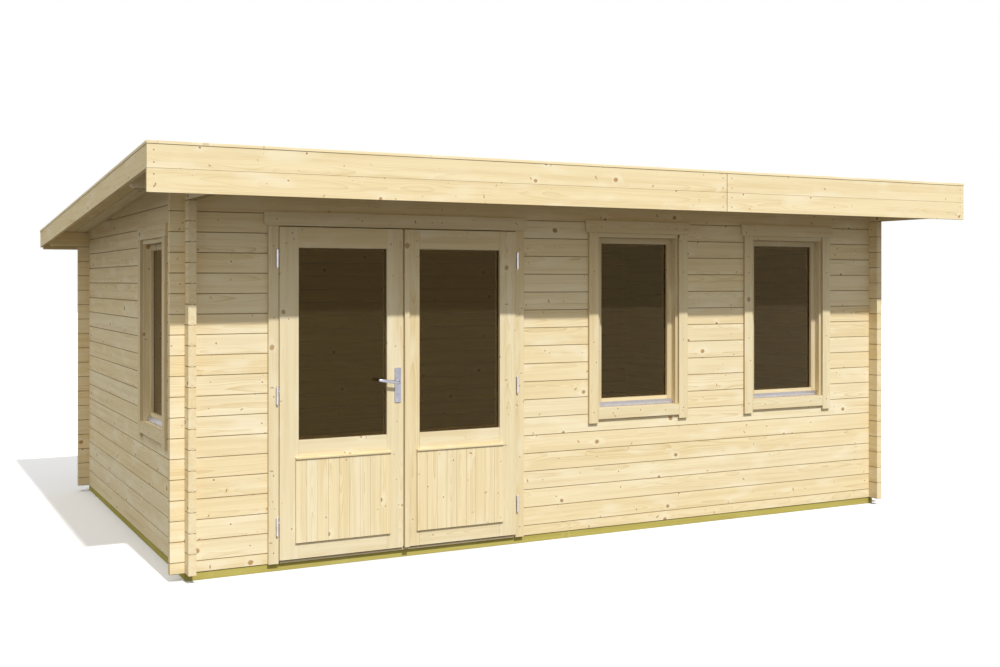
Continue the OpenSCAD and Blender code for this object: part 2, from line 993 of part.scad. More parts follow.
front_ground_beam();
back_ground_beam();
side_ground_beams();
floor_joists();
floor_boards();
front_wall_left_logs();
front_wall_middle_logs();
front_wall_pier_logs();
front_wall_right_logs();
front_wall_lower_logs();
front_wall_top_logs();
left_wall_front_logs();
left_wall_back_logs();
left_wall_lower_logs();
left_wall_top_logs();
right_wall_logs();
back_wall_logs();
roof_purlins();
roof_boards();
front_fascia();
back_fascia();
left_barge_board();
right_barge_board();
roof_edge_caps();
door_frame();
door_threshold();
door_trim();
door_frame_hinges();
window_frames();
window_sashes();
window_glass();
window_trim();
window_drip_rails();
left_door_frame();
left_door_glass();
left_door_panel();
left_door_hinges();
left_door_handle_plates();
right_door_frame();
right_door_glass();
right_door_panel();
right_door_hinges();
door_lever();
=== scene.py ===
import math
import random

import bmesh
import bpy
from mathutils import Matrix, Vector


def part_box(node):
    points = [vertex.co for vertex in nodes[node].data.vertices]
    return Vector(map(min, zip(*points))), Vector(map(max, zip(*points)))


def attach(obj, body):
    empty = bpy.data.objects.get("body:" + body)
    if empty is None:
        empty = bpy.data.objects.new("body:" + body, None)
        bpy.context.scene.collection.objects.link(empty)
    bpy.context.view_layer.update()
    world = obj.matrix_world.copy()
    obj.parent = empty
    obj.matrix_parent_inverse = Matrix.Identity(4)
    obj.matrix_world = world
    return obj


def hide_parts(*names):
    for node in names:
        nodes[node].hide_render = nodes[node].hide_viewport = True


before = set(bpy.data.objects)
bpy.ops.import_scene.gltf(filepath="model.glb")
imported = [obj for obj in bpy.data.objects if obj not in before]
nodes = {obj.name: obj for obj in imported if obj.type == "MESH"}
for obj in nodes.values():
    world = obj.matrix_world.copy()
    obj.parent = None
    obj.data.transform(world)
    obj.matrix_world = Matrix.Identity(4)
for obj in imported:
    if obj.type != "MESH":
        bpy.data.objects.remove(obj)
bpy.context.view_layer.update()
rng = random.Random(41)

# Sizes of the part in metres, from the outer front left wall corner
CORNER = Vector((-2.560, -1.553, 0.0))
WALL_LENGTH, WALL_DEPTH = 5.120, 3.315
FRONT_TOP, ROOF_DROP = 2.274, 0.228
ROOF_SLOPE = ROOF_DROP / WALL_DEPTH
ROOF_FRONT, ROOF_BACK, ROOF_SIDE, ROOF_THICK = -0.561, 3.667, 0.318, 0.019
EDGE_BOARD = 0.0203
ROOF_LEFT, ROOF_RIGHT = EDGE_BOARD - ROOF_SIDE, WALL_LENGTH + ROOF_SIDE - EDGE_BOARD
ROOF_BOARDS, FLOOR_BOARDS = 62, 29


def place(x, y, z):
    """A point measured from the wall corner, in the shared frame."""
    return CORNER + Vector((x, y, z))


def soffit(y):
    """Height of the roof boards' underside."""
    return FRONT_TOP - ROOF_SLOPE * y


# Colours


def linear(red, green, blue):
    """An sRGB colour from 0 to 255 as linear values."""
    out = []
    for value in (red, green, blue):
        value /= 255
        out.append(value / 12.92 if value <= 0.04045 else ((value + 0.055) / 1.055) ** 2.4)
    return (*out, 1.0)


# Node trees


class Tree:
    """Builds one material's nodes; a value is a number, a vector, a colour or a socket."""

    def __init__(self, name):
        self.material = bpy.data.materials.new(name)
        self.material.use_nodes = True
        self.nodes = self.material.node_tree.nodes
        self.links = self.material.node_tree.links
        self.shader = self.nodes["Principled BSDF"]

    def put(self, socket, value):
        if isinstance(value, bpy.types.NodeSocket):
            self.links.new(value, socket)
        else:
            socket.default_value = value

    def node(self, kind, inputs=(), **settings):
        made = self.nodes.new(kind)
        for key, value in settings.items():
            setattr(made, key, value)
        for key, value in dict(inputs).items():
            self.put(made.inputs[key], value)
        return made

    def math(self, operation, *values):
        made = self.node("ShaderNodeMath", operation=operation)
        for socket, value in zip(made.inputs, values):
            self.put(socket, value)
        return made.outputs[0]

    def add(self, a, b):
        return self.math("ADD", a, b)

    def sub(self, a, b):
        return self.math("SUBTRACT", a, b)

    def mul(self, a, b):
        return self.math("MULTIPLY", a, b)

    def ramp(self, value, low, high, to_low=0.0, to_high=1.0):
        """A smooth step of value from low to high."""
        made = self.node("ShaderNodeMapRange", interpolation_type="SMOOTHSTEP")
        for socket, number in zip(made.inputs, (value, low, high, to_low, to_high)):
            self.put(socket, number)
        return made.outputs[0]

    def split(self, vector):
        return self.node("ShaderNodeSeparateXYZ", {0: vector}).outputs

    def join(self, x, y, z):
        return self.node("ShaderNodeCombineXYZ", {0: x, 1: y, 2: z}).outputs[0]

    def spot(self, by):
        """The point on the object, scaled."""
        point = self.node("ShaderNodeTexCoord").outputs["Object"]
        return self.node("ShaderNodeVectorMath", {0: point, 1: by}, operation="MULTIPLY").outputs[0]

    def noise(self, vector, detail=2.0, rough=0.5):
        made = self.node("ShaderNodeTexNoise", {"Vector": vector, "Scale": 1.0})
        made.inputs["Detail"].default_value = detail
        made.inputs["Roughness"].default_value = rough
        return made.outputs

    def attribute(self, name):
        return self.node("ShaderNodeAttribute", attribute_name=name).outputs

    def mix(self, share, a, b):
        made = self.node("ShaderNodeMix", data_type="RGBA")
        for index, value in ((0, share), (6, a), (7, b)):
            self.put(made.inputs[index], value)
        return made.outputs[2]

    def bump(self, height, strength, distance):
        made = self.node("ShaderNodeBump", {"Height": height})
        made.inputs["Strength"].default_value = strength
        made.inputs["Distance"].default_value = distance
        self.put(self.shader.inputs["Normal"], made.outputs[0])


# Wood

# Knots: the cell each may lie in, radii, how many cells have one, stretch along and across, and slant
WHOLE_KNOTS = dict(cell=(0.40, 0.15), size=(0.0046, 0.0155), chance=0.66, aspect=(0.85, 1.0), slant=0.8)
SPIKE_KNOTS = dict(cell=(0.34, 0.12), size=(0.0044, 0.0100), chance=0.72, aspect=(2.1, 0.80), slant=2.2)
PIN_KNOTS = dict(cell=(0.21, 0.10), size=(0.0016, 0.0040), chance=0.38, aspect=(0.8, 1.0), slant=1.0)
SPIKE_START, PIN_START, NO_KNOT = 3.7, 7.3, 0.0001
WHOLE_STRENGTH, SPIKE_STRENGTH, PIN_STRENGTH = 0.92, 0.84, 0.85

# Noise: frequency along and across the board, detail and roughness
DRIFT, BLUR, WIGGLE, CLOUD = (1.3, 4.0), (11.0, 26.0), (5.0, 60.0), (2.6, 9.0)
STREAK, FIBRE = (0.8, 34.0, 3.0, 0.6), (16.0, 900.0, 3.0, 0.6)

# Growth rings: how far the pith drifts, how much a ring wavers, and a ring's least and further width
PITH_DRIFT, RING_WIGGLE, RING_LEAST, RING_FURTHER = 0.040, 0.0016, 0.0024, 0.0034
WHOLE_PUSH, SPIKE_PUSH, RING_EDGE = 1.2, 0.8, 3.2
STREAK_SHARE, FIBRE_SHARE, MOST_GLOW = 0.30, 0.26, 0.8

# Where the painted shade in the joints, with some dirt, sets in and stops, past the edge of a board's face
JOINT_SHADE_START, JOINT_SHADE_END = (-0.0002, 0.0014), (0.0031, 0.0036)

# Depth of the finish: strength and distance
WOOD_RELIEF = 0.35, 0.0006


def knots(tree, u, v, cell, size, chance, aspect, slant):
    """Knots on the face of a board: distance in knot radii, the radius, and a random value."""
    found = tree.node(
        "ShaderNodeTexVoronoi",
        {"Vector": tree.join(tree.mul(u, 1 / cell[0]), tree.mul(v, 1 / cell[1]), 0.0), "Scale": 1.0},
        voronoi_dimensions="2D",
    ).outputs
    centre = tree.split(found["Position"])
    kind = tree.split(found["Color"])
    along = tree.sub(u, tree.mul(centre[0], cell[0]))
    across = tree.sub(v, tree.mul(centre[1], cell[1]))
    turn = tree.mul(tree.sub(kind[2], 0.5), slant)
    cosine, sine = tree.math("COSINE", turn), tree.math("SINE", turn)
    first = tree.mul(tree.sub(tree.mul(along, cosine), tree.mul(across, sine)), aspect[0])
    second = tree.mul(tree.add(tree.mul(along, sine), tree.mul(across, cosine)), aspect[1])
    far = tree.math("SQRT", tree.add(tree.mul(first, first), tree.mul(second, second)))
    radius = tree.add(tree.mul(tree.mul(kind[1], kind[1]), size[1] - size[0]), size[0])
    radius = tree.mul(radius, tree.math("LESS_THAN", kind[0], chance))
    radius = tree.math("MAXIMUM", radius, NO_KNOT)
    return tree.math("DIVIDE", far, radius), radius, kind[2]


def timber(name, tones, figure=0.5, fleck=1.0, joint_shade=0.3, roughness=0.70):
    """Planed softwood: growth rings about a pith, streaks, fibres, knots, end grain, and joints darkened
    with painted shade and some dirt.
    """
    pale, warm, late, halo_tone, core, rim, joint_shade_tone = tones
    tree = Tree(name)
    u, v, w = tree.split(tree.attribute("grain")["Vector"])
    pith_v, pith_w, wide = tree.split(tree.attribute("pith")["Vector"])
    tint = tree.attribute("tint")["Fac"]
    end = tree.attribute("end")["Fac"]
    half = tree.attribute("half")["Fac"]

    def grain(along, across, detail=2.0, rough=0.5):
        """Noise with one frequency along the board and another across it."""
        spot = tree.join(tree.mul(u, along), tree.mul(v, across), tree.mul(w, across))
        return tree.noise(spot, detail, rough)

    # Distance from a drifting pith, pushed aside by the knots
    drift = tree.split(grain(*DRIFT)["Color"])
    far_v = tree.add(tree.sub(v, pith_v), tree.mul(tree.sub(drift[0], 0.5), PITH_DRIFT))
    far_w = tree.add(tree.sub(w, pith_w), tree.mul(tree.sub(drift[1], 0.5), PITH_DRIFT))
    ring = tree.math("SQRT", tree.add(tree.mul(far_v, far_v), tree.mul(far_w, far_w)))
    whole = knots(tree, u, v, **WHOLE_KNOTS)
    spike = knots(tree, tree.add(u, SPIKE_START), v, **SPIKE_KNOTS)
    pin = knots(tree, tree.add(u, PIN_START), v, **PIN_KNOTS)
    blur = tree.ramp(grain(*BLUR)["Fac"], 0.3, 0.7, 0.5, 1.9)
    halo = tree.ramp(tree.mul(whole[0], blur), 0.9, 4.6, 1.0, 0.0)
    spike_halo = tree.ramp(spike[0], 0.9, 4.0, 1.0, 0.0)
    ring = tree.add(ring, tree.mul(tree.mul(halo, whole[1]), WHOLE_PUSH))
    ring = tree.add(ring, tree.mul(tree.mul(spike_halo, spike[1]), SPIKE_PUSH))
    ring = tree.add(ring, tree.mul(grain(*WIGGLE)["Fac"], RING_WIGGLE))

    # Rings, streaks and fibres darken the wood
    phase = tree.math("DIVIDE", ring, tree.add(tree.mul(wide, RING_FURTHER), RING_LEAST))
    late_wood = tree.math("POWER", tree.math("FRACT", phase), RING_EDGE)
    uneven = tree.noise(tree.join(tree.mul(phase, 0.31), tree.mul(u, 0.35), tree.mul(wide, 9.0)))["Fac"]
    streak = grain(*STREAK)["Fac"]
    fibre = grain(*FIBRE)["Fac"]
    dark = tree.mul(late_wood, tree.ramp(uneven, 0.30, 0.68, 0.25, 1.0))
    dark = tree.add(tree.mul(dark, figure), tree.mul(tree.ramp(streak, 0.38, 0.72), STREAK_SHARE))
    dark = tree.add(dark, tree.mul(tree.sub(fibre, 0.5), FIBRE_SHARE))
    dark = tree.math("MINIMUM", tree.math("MAXIMUM", dark, 0.0), 1.0)
    colour = tree.mix(dark, tree.mix(tint, pale, warm), late)

    # Pale clouds and halos, and the knots themselves
    cloud = tree.ramp(grain(*CLOUD)["Fac"], 0.50, 0.72, 0.0, 0.6)
    glow = tree.add(tree.mul(halo, tree.ramp(whole[1], 0.002, 0.008, 0.0, 0.5)), cloud)
    colour = tree.mix(tree.math("MINIMUM", glow, MOST_GLOW), colour, halo_tone)
    for (far, _, age), strength in (
        (whole, WHOLE_STRENGTH), (spike, SPIKE_STRENGTH), (pin, PIN_STRENGTH)
    ):
        ripe = tree.mul(tree.ramp(far, 0.2, 0.95), tree.ramp(age, 0.1, 0.8, 0.35, 1.0))
        inside = tree.mul(tree.ramp(far, 0.55, 1.30, 1.0, 0.0), fleck * strength)
        colour = tree.mix(inside, colour, tree.mix(ripe, core, rim))

    # End grain, and painted shade with some dirt in the joints along the edges of the board's face
    colour = tree.mix(tree.mul(end, tree.ramp(late_wood, 0.0, 1.0, 0.10, 0.42)), colour, late)
    # Painted shade, with some dirt, on the chamfers and tongue beyond the edge of the face
    past = tree.sub(tree.math("ABSOLUTE", v), half)
    joint_shade_band = tree.ramp(past, *JOINT_SHADE_START, 0.0, joint_shade)
    joint_shade_band = tree.mul(joint_shade_band, tree.ramp(past, *JOINT_SHADE_END, 1.0, 0.0))
    tree.put(tree.shader.inputs["Base Color"], tree.mix(joint_shade_band, colour, joint_shade_tone))

    # Fibres and rings in the finish
    rough = tree.ramp(fibre, 0.2, 0.8, roughness - 0.06, roughness + 0.10)
    tree.put(tree.shader.inputs["Roughness"], tree.add(rough, tree.mul(end, 0.12)))
    height = tree.add(tree.mul(fibre, 0.5), tree.mul(late_wood, 0.6))
    height = tree.sub(height, tree.ramp(whole[0], 0.85, 1.1, 0.5, 0.0))
    tree.bump(height, *WOOD_RELIEF)
    tree.shader.inputs["Specular IOR Level"].default_value = 0.0
    return tree.material


# Tones in sRGB: early wood of two tints, late wood and halos; knots' cores and rims, and the joints'
# painted shade with some dirt
PINE_TONES = (249, 235, 198), (246, 227, 182), (217, 187, 130), (252, 240, 208)
PINE_MARKS = (188, 146, 84), (134, 96, 52), (128, 98, 54)
TREATED_TONES = (216, 202, 112), (206, 194, 102), (158, 142, 60), (220, 208, 124)
TREATED_MARKS = (150, 120, 54), (104, 80, 36), (110, 94, 40)


def pine(name, shift=0, figure=0.5, fleck=1.0, joint_shade=0.3):
    """Pale spruce; shift darkens it in sRGB steps."""
    tones = [linear(*(value - shift for value in tone)) for tone in PINE_TONES]
    tones += [linear(*mark) for mark in PINE_MARKS]
    return timber(name, tones, figure, fleck, joint_shade)


# Numbers after the name: tone shift, figure, knots, and painted shade with some dirt in the joints
LOG = pine("spruce_log", 0, 0.60, 1.0, 0.72)
FASCIA = pine("spruce_fascia", 3, 0.46, 1.0, 0.5)
CAP_WOOD = pine("spruce_cap", 0, 0.40, 0.4, 0.0)
TRIM = pine("spruce_trim", 8, 0.46, 0.9, 0.2)
PANEL = pine("spruce_panel", 2, 0.52, 1.0, 0.12)
INSIDE = pine("spruce_inside", 10)
# A tone 44 steps darker, painted shade for upward faces, which the sun lights most
ROOF_TOP_SHADE = pine("spruce_roof_painted_shade", 44, 0.60)
TREATED = timber(
    "treated_beam", [linear(*tone) for tone in TREATED_TONES + TREATED_MARKS],
    figure=0.55, fleck=0.2, joint_shade=0.2, roughness=0.66,
)


# Boards

# Widths of the rounded edges
ROUND = {
    "beam": 0.003, "fascia": 0.0015, "trim": 0.002, "purlin": 0.002, "roof": 0.003, "floor": 0.002,
    "panel": 0.0015, "bead": 0.0018, "gasket": 0.0006, "strip": 0.0008, "nosing": 0.0025, "keyhole": 0.0003,
}
SHARP = 0.5

# Grain: where along the tree a board may start, and where its pith may lie
GRAIN_RUN, PITH_ASIDE, PITH_NEAR, PITH_FAR = 40.0, 0.05, 0.015, 0.11
FACE_DEPTH, END_FACING, TOP_FACING = 0.0002, 0.8, 0.9
MERGE, FLAT = 1e-5, 0.01
BOARD_GAP = 0.0004


def islands(bm):
    """The separate solids of a mesh, as lists of faces."""
    left = set(bm.faces)
    while left:
        stack = [min(left, key=lambda f: f.index)]
        left.discard(stack[0])
        found = []
        while stack:
            face = stack.pop()
            found.append(face)
            for edge in face.edges:
                for other in edge.link_faces:
                    if other in left:
                        left.discard(other)
                        stack.append(other)
        yield found


def add_box(bm, low, high, turn=None):
    """An upright box between two corners, which turn may move and quarter-turn."""
    ends = [turn @ Vector(c) if turn else Vector(c) for c in (low, high)]
    low = Vector(min(c) for c in zip(*ends))
    high = Vector(max(c) for c in zip(*ends))
    made = bmesh.ops.create_cube(bm, size=1.0)["verts"]
    for vert in made:
        vert.co = Vector(c * s for c, s in zip(vert.co, high - low)) + (low + high) / 2


def round_edges(bm, width):
    sharp = [e for e in bm.edges if len(e.link_faces) == 2 and e.calc_face_angle(0.0) > SHARP]
    bmesh.ops.bevel(
        bm, geom=sharp, offset=width, segments=2, profile=0.5, affect="EDGES", clamp_overlap=True
    )


def make_boards(bm, name, body, material, bevel=0.0, replaces=(), turn=None):
    """Turns the solids of bm into boards with their own grain, and into a piece on a body."""
    if bevel:
        round_edges(bm, bevel)
    bm.faces.ensure_lookup_table()
    bm.faces.index_update()
    grain = bm.verts.layers.float_vector.new("grain")
    pith = bm.verts.layers.float_vector.new("pith")
    tint = bm.verts.layers.float.new("tint")
    half = bm.verts.layers.float.new("half")
    end = bm.faces.layers.float.new("end")
    for solid in islands(bm):
        verts = {vert for face in solid for vert in face.verts}
        low = [min(vert.co[i] for vert in verts) for i in range(3)]
        high = [max(vert.co[i] for vert in verts) for i in range(3)]
        size = [b - a for a, b in zip(low, high)]
        order = sorted(range(3), key=lambda i: -size[i])
        start = rng.uniform(0.0, GRAIN_RUN)
        side = rng.choice((-1, 1))
        aside = rng.uniform(-PITH_ASIDE, PITH_ASIDE)
        heart = Vector((aside, side * rng.uniform(PITH_NEAR, PITH_FAR), rng.random()))
        shade = rng.random()
        # The painted shade in the joints is measured from the edge of the board's face, without tongue or
        # chamfer
        face_at = high[order[2]] - FACE_DEPTH
        face_verts = [vert.co[order[1]] for vert in verts if vert.co[order[2]] > face_at]
        low[order[1]], high[order[1]] = min(face_verts), max(face_verts)
        for vert in verts:
            local = [vert.co[i] - (low[i] + high[i]) / 2 for i in order]
            vert[grain] = Vector((local[0] + start, local[1], local[2]))
            vert[pith] = heart
            vert[tint] = shade
            vert[half] = (high[order[1]] - low[order[1]]) / 2
        for face in solid:
            face[end] = 1.0 if abs(face.normal[order[0]]) > END_FACING else 0.0
    if turn:
        bm.transform(turn)
    mesh = bpy.data.meshes.new(name)
    bm.to_mesh(mesh)
    bm.free()
    mesh.materials.append(material)
    return mount(mesh, name, body, replaces)


def mount(mesh, name, body, replaces=()):
    """A mesh as a piece that rides on a body."""
    piece = bpy.data.objects.new(name, mesh)
    bpy.context.scene.collection.objects.link(piece)
    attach(piece, body)
    if replaces:
        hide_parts(*replaces)
    return piece


def dress(node, body, material, bevel=0.0):
    """The solids of a CAD node as boards, each with its own grain."""
    bm = bmesh.new()
    bm.from_mesh(nodes[node].data)
    for layers in (bm.loops.layers.uv, bm.loops.layers.color, bm.loops.layers.float_color):
        for layer in list(layers.values()):
            layers.remove(layer)
    bmesh.ops.remove_doubles(bm, verts=bm.verts, dist=MERGE)
    bmesh.ops.dissolve_limit(bm, angle_limit=FLAT, verts=bm.verts, edges=bm.edges)
    bmesh.ops.recalc_face_normals(bm, faces=bm.faces)
    return make_boards(bm, node + "_wood", body, material, bevel, (node,))


def shade_top_faces(piece):
    """Upward faces take the darker roof tone: painted shade that holds down the sun falling on them."""
    piece.data.materials.append(ROOF_TOP_SHADE)
    for face in piece.data.polygons:
        face.material_index = int(face.normal.z > TOP_FACING)


for node in nodes:
    if node.endswith("_logs"):
        dress(node, "cabin", LOG)
for node in ("front_ground_beam", "back_ground_beam", "side_ground_beams", "floor_joists"):
    dress(node, "cabin", TREATED, ROUND["beam"])
for node in ("front_fascia", "back_fascia", "left_barge_board", "right_barge_board", "roof_edge_caps"):
    wood = CAP_WOOD if node == "roof_edge_caps" else FASCIA
    # Upward faces of these boards get painted shade
    shade_top_faces(dress(node, "cabin", wood, ROUND["fascia"]))
for node in ("door_frame", "door_threshold", "door_trim", "window_frames", "window_sashes", "window_trim"):
    dress(node, "cabin", TRIM, ROUND["trim"])
for side in ("left", "right"):
    dress(side + "_door_frame", side + "_door", TRIM, ROUND["trim"])
dress("roof_purlins", "cabin", INSIDE, ROUND["purlin"])


def row_of_boards(bm, low, high, count, axis, turn=None, gap=BOARD_GAP):
    """Boards side by side along an axis, filling a box."""
    step = (high[axis] - low[axis]) / count
    for i in range(count):
        start, stop = list(low), list(high)
        start[axis], stop[axis] = low[axis] + i * step, low[axis] + (i + 1) * step - gap
        add_box(bm, start, stop, turn)


# Roof boards run from front to back, on the slope
bm = bmesh.new()
row_of_boards(
    bm, (ROOF_LEFT, ROOF_FRONT + EDGE_BOARD, 0.0), (ROOF_RIGHT, ROOF_BACK - EDGE_BOARD, ROOF_THICK),
    ROOF_BOARDS, 0, gap=0.0,
)
slope = Matrix.Identity(4)
slope[2][1] = -ROOF_SLOPE
lift = Matrix.Translation(place(0.0, 0.0, FRONT_TOP))
shade_top_faces(make_boards(
    bm, "roof_boarding", "cabin", INSIDE, ROUND["roof"], ("roof_boards",), turn=lift @ slope
))

# Floor boards run along the cabin
low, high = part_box("floor_boards")
bm = bmesh.new()
row_of_boards(bm, low, high, FLOOR_BOARDS, 1)
make_boards(bm, "floor_boarding", "cabin", INSIDE, ROUND["floor"], ("floor_boards",))


# Glazing


def speckled_material(name, first, second, fine, rough, relief, metallic=0.0):
    """A surface mottled between two colours, such as dusty rubber or dull nail heads."""
    tree = Tree(name)
    speck = tree.noise(tree.spot((fine, fine, fine)), 3.0)["Fac"]
    tree.put(tree.shader.inputs["Base Color"], tree.mix(speck, first, second))
    tree.put(tree.shader.inputs["Roughness"], tree.ramp(speck, 0.2, 0.8, *rough))
    tree.shader.inputs["Metallic"].default_value = metallic
    tree.bump(speck, 0.2, relief)
    return tree.material


RUBBER_LOOK = dict(fine=220.0, rough=(0.55, 0.8), relief=0.0004)
RUBBER = speckled_material("gasket_rubber", linear(122, 110, 86), linear(146, 132, 106), **RUBBER_LOOK)
# A dark slab on the lock's face stands in for the keyhole's recess: painted shade
KEYHOLE_SHADE = speckled_material("keyhole_painted_shade", linear(30, 28, 26), linear(52, 48, 44), **RUBBER_LOOK)
SMOOTH_BELOW = math.radians(38.0)


def plain_piece(bm, name, body, material, bevel=0.0, replaces=(), smooth=False):
    """A piece with no grain, such as metal or rubber."""
    if bevel:
        round_edges(bm, bevel)
    bmesh.ops.recalc_face_normals(bm, faces=bm.faces)
    mesh = bpy.data.meshes.new(name)
    bm.to_mesh(mesh)
    bm.free()
    if smooth:
        mesh.shade_smooth()
        mesh.set_sharp_from_angle(angle=SMOOTH_BELOW)
    mesh.materials.append(material)
    return mount(mesh, name, body, replaces)


def rim_boxes(bm, opening, width, front, back, turn):
    """Four strips just inside an upright opening, between two depths."""
    (left, bottom), (right, top) = opening
    add_box(bm, (left, front, bottom), (left + width, back, top), turn)
    add_box(bm, (right - width, front, bottom), (right, back, top), turn)
    add_box(bm, (left + width, front, bottom), (right - width, back, bottom + width), turn)
    add_box(bm, (left + width, front, top - width), (right - width, back, top), turn)


SEAT = 0.0003
BEAD_WIDTH, BEAD_INSET = 0.012, 0.002
OUTER_SEAL, INNER_SEAL, SEAL_THICK, SEAL_SEAT = 0.0022, 0.0130, 0.0025, 0.0001


def glaze(beads, seals, opening, pane, back, turn):
    """Beads behind a pane, and gaskets on its two faces."""
    outer, inner = pane
    rim_boxes(beads, opening, BEAD_WIDTH, inner + SEAT, back - BEAD_INSET, turn)
    rim_boxes(seals, opening, OUTER_SEAL, outer - SEAL_THICK, outer - SEAL_SEAT, turn)
    rim_boxes(seals, opening, INNER_SEAL, inner + SEAL_SEAT, inner + SEAL_THICK, turn)


# Door leaves: boarded panels with a drip lip over them, and beads and gaskets round the glass
DOORS = {"left_door": 1, "right_door": -1}
DOOR_X, LEAF_FRONT, LEAF_BACK = 1.2958, -0.026, 0.018
LEAF_LOW, LEAF_HIGH, LEAF_WIDTH, HINGE_EDGE = 0.064, 1.970, 0.762, 0.7655
DOOR_OPENING = (-0.6525, 0.744), (-0.1055, 1.852)
PANE_DEPTH, PANE_THICK = 0.019, 0.006
DOOR_PANE = LEAF_FRONT + PANE_DEPTH, LEAF_FRONT + PANE_DEPTH + PANE_THICK
PANEL_LOW, PANEL_HIGH = (-0.6725, 0.156), (-0.0855, 0.642)
PANEL_LAP, PANEL_PROUD, PANEL_CORE = 0.020, 0.013, 0.020
PANEL_BOARDS, CORE_BOARDS = 9, 8
LIP_PROUD, LIP_DOWN, LIP_UP = 0.021, 0.006, 0.0045


def on_leaf(hand):
    """Moves what is drawn for the left leaf to the left or right leaf."""
    return Matrix.Translation(place(DOOR_X, 0.0, 0.0)) @ Matrix.Diagonal((hand, 1.0, 1.0, 1.0))


for body, hand in DOORS.items():
    turn = on_leaf(hand)
    (left, bottom), (right, top) = PANEL_LOW, PANEL_HIGH
    bm = bmesh.new()
    row_of_boards(
        bm, (left, LEAF_FRONT - PANEL_PROUD, bottom), (right, LEAF_FRONT - SEAT, top), PANEL_BOARDS, 0, turn
    )
    inner = PANEL_LAP + SEAT
    row_of_boards(
        bm, (left + inner, LEAF_FRONT, bottom + inner),
        (right - inner, LEAF_FRONT + PANEL_CORE, top - inner), CORE_BOARDS, 0, turn,
    )
    make_boards(bm, body + "_boarding", body, PANEL, ROUND["panel"], (body + "_panel",))
    beads, seals = bmesh.new(), bmesh.new()
    lip = LEAF_FRONT - PANEL_PROUD - SEAT
    add_box(beads, (left, LEAF_FRONT - LIP_PROUD, top - LIP_DOWN), (right, lip, top + LIP_UP), turn)
    add_box(beads, (left, lip, top + SEAT), (right, LEAF_FRONT - SEAT, top + LIP_UP), turn)
    glaze(beads, seals, DOOR_OPENING, DOOR_PANE, LEAF_BACK, turn)
    make_boards(beads, body + "_beads", body, TRIM, ROUND["bead"])
    plain_piece(seals, body + "_gaskets", body, RUBBER, ROUND["gasket"])

# A strip on the right leaf's edge fills most of the gap between the leaves
STRIP_TIP, LEAF_EDGE, STRIP_INSET = -0.0019, 0.0035, 0.006
bm = bmesh.new()
add_box(
    bm, (STRIP_TIP, LEAF_FRONT + STRIP_INSET, LEAF_LOW + STRIP_INSET),
    (LEAF_EDGE - SEAT, LEAF_BACK - STRIP_INSET, LEAF_HIGH - STRIP_INSET), on_leaf(1.0),
)
make_boards(bm, "right_door_meeting_strip", "right_door", TRIM, ROUND["strip"])

# A nosing on the threshold's front, under the leaves
NOSING_HALF, NOSING_FRONT, NOSING_LOW, NOSING_HIGH = 0.760, -0.013, 0.0455, 0.0575
bm = bmesh.new()
add_box(
    bm, place(DOOR_X - NOSING_HALF, NOSING_FRONT, NOSING_LOW),
    place(DOOR_X + NOSING_HALF, -SEAT, NOSING_HIGH),
)
make_boards(bm, "threshold_nosing", "cabin", TRIM, ROUND["nosing"])

# Windows: beads and gaskets round the glass
WINDOW_XS, WINDOW_FOOT = (3.0041, 4.2836), 0.792
SIDE_WINDOW_Y, SIDE_WINDOW_FOOT = 0.835, 0.735
TO_THE_LEFT = Matrix.Rotation(-math.pi / 2, 4, "Z")
WINDOWS = [Matrix.Translation(place(x, 0.0, WINDOW_FOOT)) for x in WINDOW_XS]
WINDOWS.append(Matrix.Translation(place(0.0, SIDE_WINDOW_Y, SIDE_WINDOW_FOOT)) @ TO_THE_LEFT)
SASH_OPENING = (-0.2639, 0.0923), (0.2639, 1.1177)
SASH_PANE, SASH_BACK = (0.059, 0.065), 0.084
beads, seals = bmesh.new(), bmesh.new()
for turn in WINDOWS:
    glaze(beads, seals, SASH_OPENING, SASH_PANE, SASH_BACK, turn)
make_boards(beads, "window_beads", "cabin", TRIM, ROUND["bead"])
plain_piece(seals, "window_gaskets", "cabin", RUBBER, ROUND["gasket"])


# Glass and metal

WORN = 0.88


def glass_material():
    tree = Tree("tinted_glass")
    ripple = tree.noise(tree.spot((2.2, 2.2, 1.4)), 1.0)["Fac"]
    tree.bump(ripple, 0.06, 0.004)
    tree.put(tree.shader.inputs["Roughness"], tree.ramp(ripple, 0.2, 0.8, 0.01, 0.03))
    tree.shader.inputs["Base Color"].default_value = linear(168, 146, 93)
    tree.shader.inputs["Transmission Weight"].default_value = 1.0
    tree.shader.inputs["Specular Tint"].default_value = linear(220, 200, 148)
    tree.shader.inputs["IOR"].default_value = 1.46
    return tree.material


def metal_material(name, colour, roughness):
    """Brushed metal, a little worn in patches."""
    tree = Tree(name)
    brush = tree.noise(tree.spot((1400.0, 1400.0, 60.0)), 2.0)["Fac"]
    cloud = tree.noise(tree.spot((40.0, 40.0, 40.0)), 3.0)["Fac"]
    worn = tuple(WORN * c for c in colour[:3]) + (1.0,)
    tree.put(tree.shader.inputs["Roughness"], tree.add(tree.mul(brush, 0.16), roughness))
    tree.put(tree.shader.inputs["Base Color"], tree.mix(tree.ramp(cloud, 0.3, 0.7), colour, worn))
    tree.bump(brush, 0.05, 0.0003)
    tree.shader.inputs["Metallic"].default_value = 1.0
    return tree.material


GLASS = glass_material()
STEEL = metal_material("hinge_steel", linear(208, 204, 207), 0.28)
HANDLE = metal_material("handle_steel", linear(170, 170, 182), 0.26)
ALUMINIUM = metal_material("drip_aluminium", linear(194, 191, 193), 0.30)


def keep(node, material):
    """A CAD node stays, with a better material."""
    slots = nodes[node].data.materials
    slots.clear()
    slots.append(material)


for node in ("window_glass", "left_door_glass", "right_door_glass"):
    keep(node, GLASS)
for node in ("door_frame_hinges", "left_door_hinges", "right_door_hinges"):
    keep(node, STEEL)
keep("window_drip_rails", ALUMINIUM)


